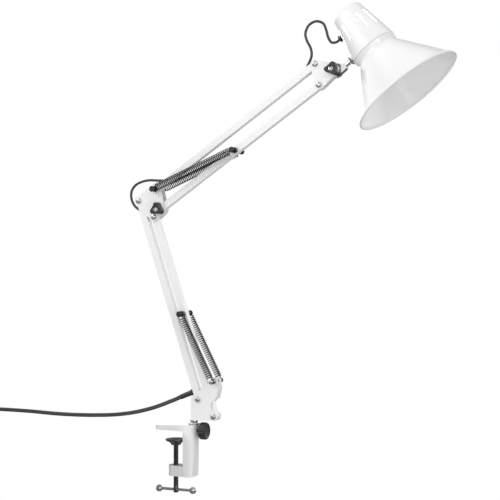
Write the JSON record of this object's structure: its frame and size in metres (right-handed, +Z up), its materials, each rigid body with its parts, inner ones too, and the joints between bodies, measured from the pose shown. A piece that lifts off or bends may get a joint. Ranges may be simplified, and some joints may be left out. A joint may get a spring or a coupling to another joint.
{
  "type": "swing arm desk lamp",
  "caption": "Clamp-on desk lamp with spring-balanced parallel-bar arms, a swivel base and a tilting cone shade, with its mains cord, inline switch and plug.",
  "frame": {"origin": "on the clamp screw's axis, in the flat underside of the clamp jaw that rests on the desk top", "axes": "+Z up out of the desk, +X from the desk's edge out over the front of the lamp, in which plane the arms move, +Y to the lamp's far side"},
  "size_m": [0.8429, 0.1741, 0.6831],
  "materials": {
    "clamp_frame": "smooth gloss white powder coat",
    "swivel_washer": "satin black moulded plastic",
    "mains_cord": "matt black PVC sheath",
    "cord_coil": "matt black PVC sheath",
    "cord_to_switch": "matt black PVC sheath",
    "cord_to_plug": "matt black PVC sheath",
    "switch_housing": "satin black moulded plastic",
    "plug_body": "satin black moulded plastic",
    "plug_pin_left": "bright nickel or chrome plate",
    "plug_pin_right": "bright nickel or chrome plate",
    "lock_knob": "satin black moulded plastic",
    "clamp_pad": "bright nickel or chrome plate",
    "clamp_spindle": "bright nickel or chrome plate",
    "tommy_bar": "bright nickel or chrome plate",
    "tommy_ball": "bright nickel or chrome plate",
    "switch_rocker": "satin black moulded plastic",
    "base_pivot_pin": "bright nickel or chrome plate",
    "base_bracket": "smooth gloss white powder coat",
    "base_rear_screw": "bright nickel or chrome plate",
    "base_front_screw": "bright nickel or chrome plate",
    "ear_stud_near": "bright nickel or chrome plate",
    "ear_stud_far": "bright nickel or chrome plate",
    "mains_lead": "matt black PVC sheath",
    "lower_spring_near": "black oxide steel",
    "lower_spring_far": "black oxide steel",
    "lower_rear_bar": "smooth gloss white powder coat",
    "lower_bar_lead": "matt black PVC sheath",
    "cord_grommet": "satin black moulded plastic",
    "lower_front_bar": "smooth gloss white powder coat",
    "lower_spring_pin": "black oxide steel",
    "elbow_bracket": "smooth gloss white powder coat",
    "elbow_rear_screw": "bright nickel or chrome plate",
    "elbow_front_screw": "bright nickel or chrome plate",
    "elbow_tension_bolt": "bright nickel or chrome plate",
    "elbow_spring_pin": "black oxide steel",
    "elbow_lead": "matt black PVC sheath",
    "upper_spring_near": "black oxide steel",
    "upper_spring_far": "black oxide steel",
    "elbow_knob": "satin black moulded plastic",
    "upper_main_bar": "smooth gloss white powder coat",
    "upper_spring_pin": "black oxide steel",
    "upper_cable_bar": "smooth gloss white powder coat",
    "upper_bar_lead": "matt black PVC sheath",
    "head_bracket": "smooth gloss white powder coat",
    "head_upper_screw": "bright nickel or chrome plate",
    "head_lower_screw": "bright nickel or chrome plate",
    "head_tension_bolt": "bright nickel or chrome plate",
    "knuckle_disc": "bright nickel or chrome plate",
    "head_lead": "matt black PVC sheath",
    "head_knob": "satin black moulded plastic",
    "head_knuckle": "bright nickel or chrome plate",
    "lamp_rod": "bright nickel or chrome plate",
    "shade_cone": "smooth gloss white powder coat",
    "shade_cap": "smooth gloss white powder coat",
    "cable_gland": "satin black moulded plastic",
    "rod_nut_outer": "bright nickel or chrome plate",
    "rod_nut_inner": "bright nickel or chrome plate",
    "holder_strap": "bright nickel or chrome plate",
    "lamp_holder": "glazed off-white holder body",
    "holder_thread": "pressed screw shell"
  },
  "bodies": {
    "clamp": {"clamp_frame": "clamp_frame", "swivel_washer": "swivel_washer", "mains_cord": "mains_cord", "cord_coil": "cord_coil", "cord_to_switch": "cord_to_switch", "cord_to_plug": "cord_to_plug", "switch_housing": "switch_housing", "plug_body": "plug_body", "plug_pin_left": "plug_pin_left", "plug_pin_right": "plug_pin_right"},
    "lock_knob": {"lock_knob": "lock_knob"},
    "pad": {"clamp_pad": "clamp_pad"},
    "spindle": {"clamp_spindle": "clamp_spindle"},
    "tommy": {"tommy_bar": "tommy_bar", "tommy_ball": "tommy_ball"},
    "rocker": {"switch_rocker": "switch_rocker"},
    "base": {"base_pivot_pin": "base_pivot_pin", "base_bracket": "base_bracket", "base_rear_screw": "base_rear_screw", "base_front_screw": "base_front_screw", "ear_stud_near": "ear_stud_near", "ear_stud_far": "ear_stud_far", "mains_lead": "mains_lead", "lower_spring_near": "lower_spring_near", "lower_spring_far": "lower_spring_far"},
    "lower_rear": {"lower_rear_bar": "lower_rear_bar", "lower_bar_lead": "lower_bar_lead", "cord_grommet": "cord_grommet"},
    "lower_front": {"lower_front_bar": "lower_front_bar", "lower_spring_pin": "lower_spring_pin"},
    "elbow": {"elbow_bracket": "elbow_bracket", "elbow_rear_screw": "elbow_rear_screw", "elbow_front_screw": "elbow_front_screw", "elbow_tension_bolt": "elbow_tension_bolt", "elbow_spring_pin": "elbow_spring_pin", "elbow_lead": "elbow_lead", "upper_spring_near": "upper_spring_near", "upper_spring_far": "upper_spring_far"},
    "elbow_knob": {"elbow_knob": "elbow_knob"},
    "upper_main": {"upper_main_bar": "upper_main_bar", "upper_spring_pin": "upper_spring_pin"},
    "upper_cable": {"upper_cable_bar": "upper_cable_bar", "upper_bar_lead": "upper_bar_lead"},
    "head": {"head_bracket": "head_bracket", "head_upper_screw": "head_upper_screw", "head_lower_screw": "head_lower_screw", "head_tension_bolt": "head_tension_bolt", "knuckle_disc": "knuckle_disc", "head_lead": "head_lead"},
    "head_knob": {"head_knob": "head_knob"},
    "knuckle": {"head_knuckle": "head_knuckle"},
    "shade": {"lamp_rod": "lamp_rod", "shade_cone": "shade_cone", "shade_cap": "shade_cap", "cable_gland": "cable_gland", "rod_nut_outer": "rod_nut_outer", "rod_nut_inner": "rod_nut_inner", "holder_strap": "holder_strap", "lamp_holder": "lamp_holder", "holder_thread": "holder_thread"}
  },
  "joints": [
    {"name": "lock_knob_turn", "type": "hinge", "parent": "clamp", "child": "lock_knob", "pos_m": [0.039, 0, 0], "axis": [1, 0, 0], "range_deg": [-180, 180]},
    {"name": "pad_slide", "type": "slide", "parent": "clamp", "child": "pad", "axis": [0, 0, 1], "range_m": [-0.026, 0.013]},
    {"name": "spindle_turn", "type": "hinge", "parent": "pad", "child": "spindle", "pos_m": [0, 0, -0.05], "axis": [0, 0, 1], "range_deg": [-7488, 3743.7]},
    {"name": "tommy_slide", "type": "slide", "parent": "spindle", "child": "tommy", "axis": [1, 0, 0], "range_m": [-0.016, 0.016]},
    {"name": "rocker_press", "type": "hinge", "parent": "clamp", "child": "rocker", "pos_m": [-0.368, -0.022, 0.017], "axis": [0, 1, 0], "range_deg": [-8, 8]},
    {"name": "base_swivel", "type": "hinge", "parent": "clamp", "child": "base", "pos_m": [0.0285, 0, 0.01], "axis": [0, 0, 1], "range_deg": [-180, 180], "deforming": ["mains_cord"]},
    {"name": "lower_arm_lean", "type": "hinge", "parent": "base", "child": "lower_rear", "pos_m": [0.037, 0, 0.0453], "axis": [0, 1, 0], "range_deg": [-8, 60], "deforming": ["mains_lead", "elbow_lead"]},
    {"name": "lower_front_lean", "type": "hinge", "parent": "base", "child": "lower_front", "pos_m": [0.0612, 0, 0.0217], "axis": [0, 1, 0], "range_deg": [-8, 60], "deforming": ["lower_spring_near", "lower_spring_far"]},
    {"name": "elbow_level", "type": "hinge", "parent": "lower_rear", "child": "elbow", "pos_m": [-0.05657, 0, 0.32823], "axis": [0, 1, 0], "range_deg": [-60, 8]},
    {"name": "elbow_knob_turn", "type": "hinge", "parent": "elbow", "child": "elbow_knob", "pos_m": [-0.02377, 0, 0.31553], "axis": [0, 1, 0], "range_deg": [-180, 180]},
    {"name": "upper_arm_dip", "type": "hinge", "parent": "elbow", "child": "upper_main", "pos_m": [-0.02377, 0, 0.31553], "axis": [0, 1, 0], "range_deg": [-38, 70], "deforming": ["upper_spring_near", "upper_spring_far"]},
    {"name": "upper_cable_dip", "type": "hinge", "parent": "elbow", "child": "upper_cable", "pos_m": [-0.02927, 0, 0.34443], "axis": [0, 1, 0], "range_deg": [-38, 70], "deforming": ["elbow_lead", "head_lead"]},
    {"name": "head_level", "type": "hinge", "parent": "upper_cable", "child": "head", "pos_m": [0.21273, 0, 0.51138], "axis": [0, 1, 0], "range_deg": [-70, 38]},
    {"name": "head_knob_turn", "type": "hinge", "parent": "head", "child": "head_knob", "pos_m": [0.23913, 0, 0.50257], "axis": [0, 1, 0], "range_deg": [-180, 180]},
    {"name": "shade_tilt", "type": "hinge", "parent": "head", "child": "knuckle", "pos_m": [0.23913, 0, 0.50257], "axis": [0, 1, 0], "range_deg": [-60, 55], "deforming": ["head_lead"]},
    {"name": "shade_roll", "type": "hinge", "parent": "knuckle", "child": "shade", "pos_m": [0.24283, 0, 0.49785], "axis": [0.788, 0, 0.6157], "range_deg": [-120, 120], "deforming": ["head_lead"]}
  ],
  "couplings": [
    {"joint": "pad_slide", "follows": "spindle_turn", "m_per_rad": 0.00019894},
    {"joint": "lower_front_lean", "follows": "lower_arm_lean", "ratio": 1},
    {"joint": "elbow_level", "follows": "lower_arm_lean", "ratio": -1},
    {"joint": "upper_cable_dip", "follows": "upper_arm_dip", "ratio": 1},
    {"joint": "head_level", "follows": "upper_arm_dip", "ratio": -1}
  ]
}
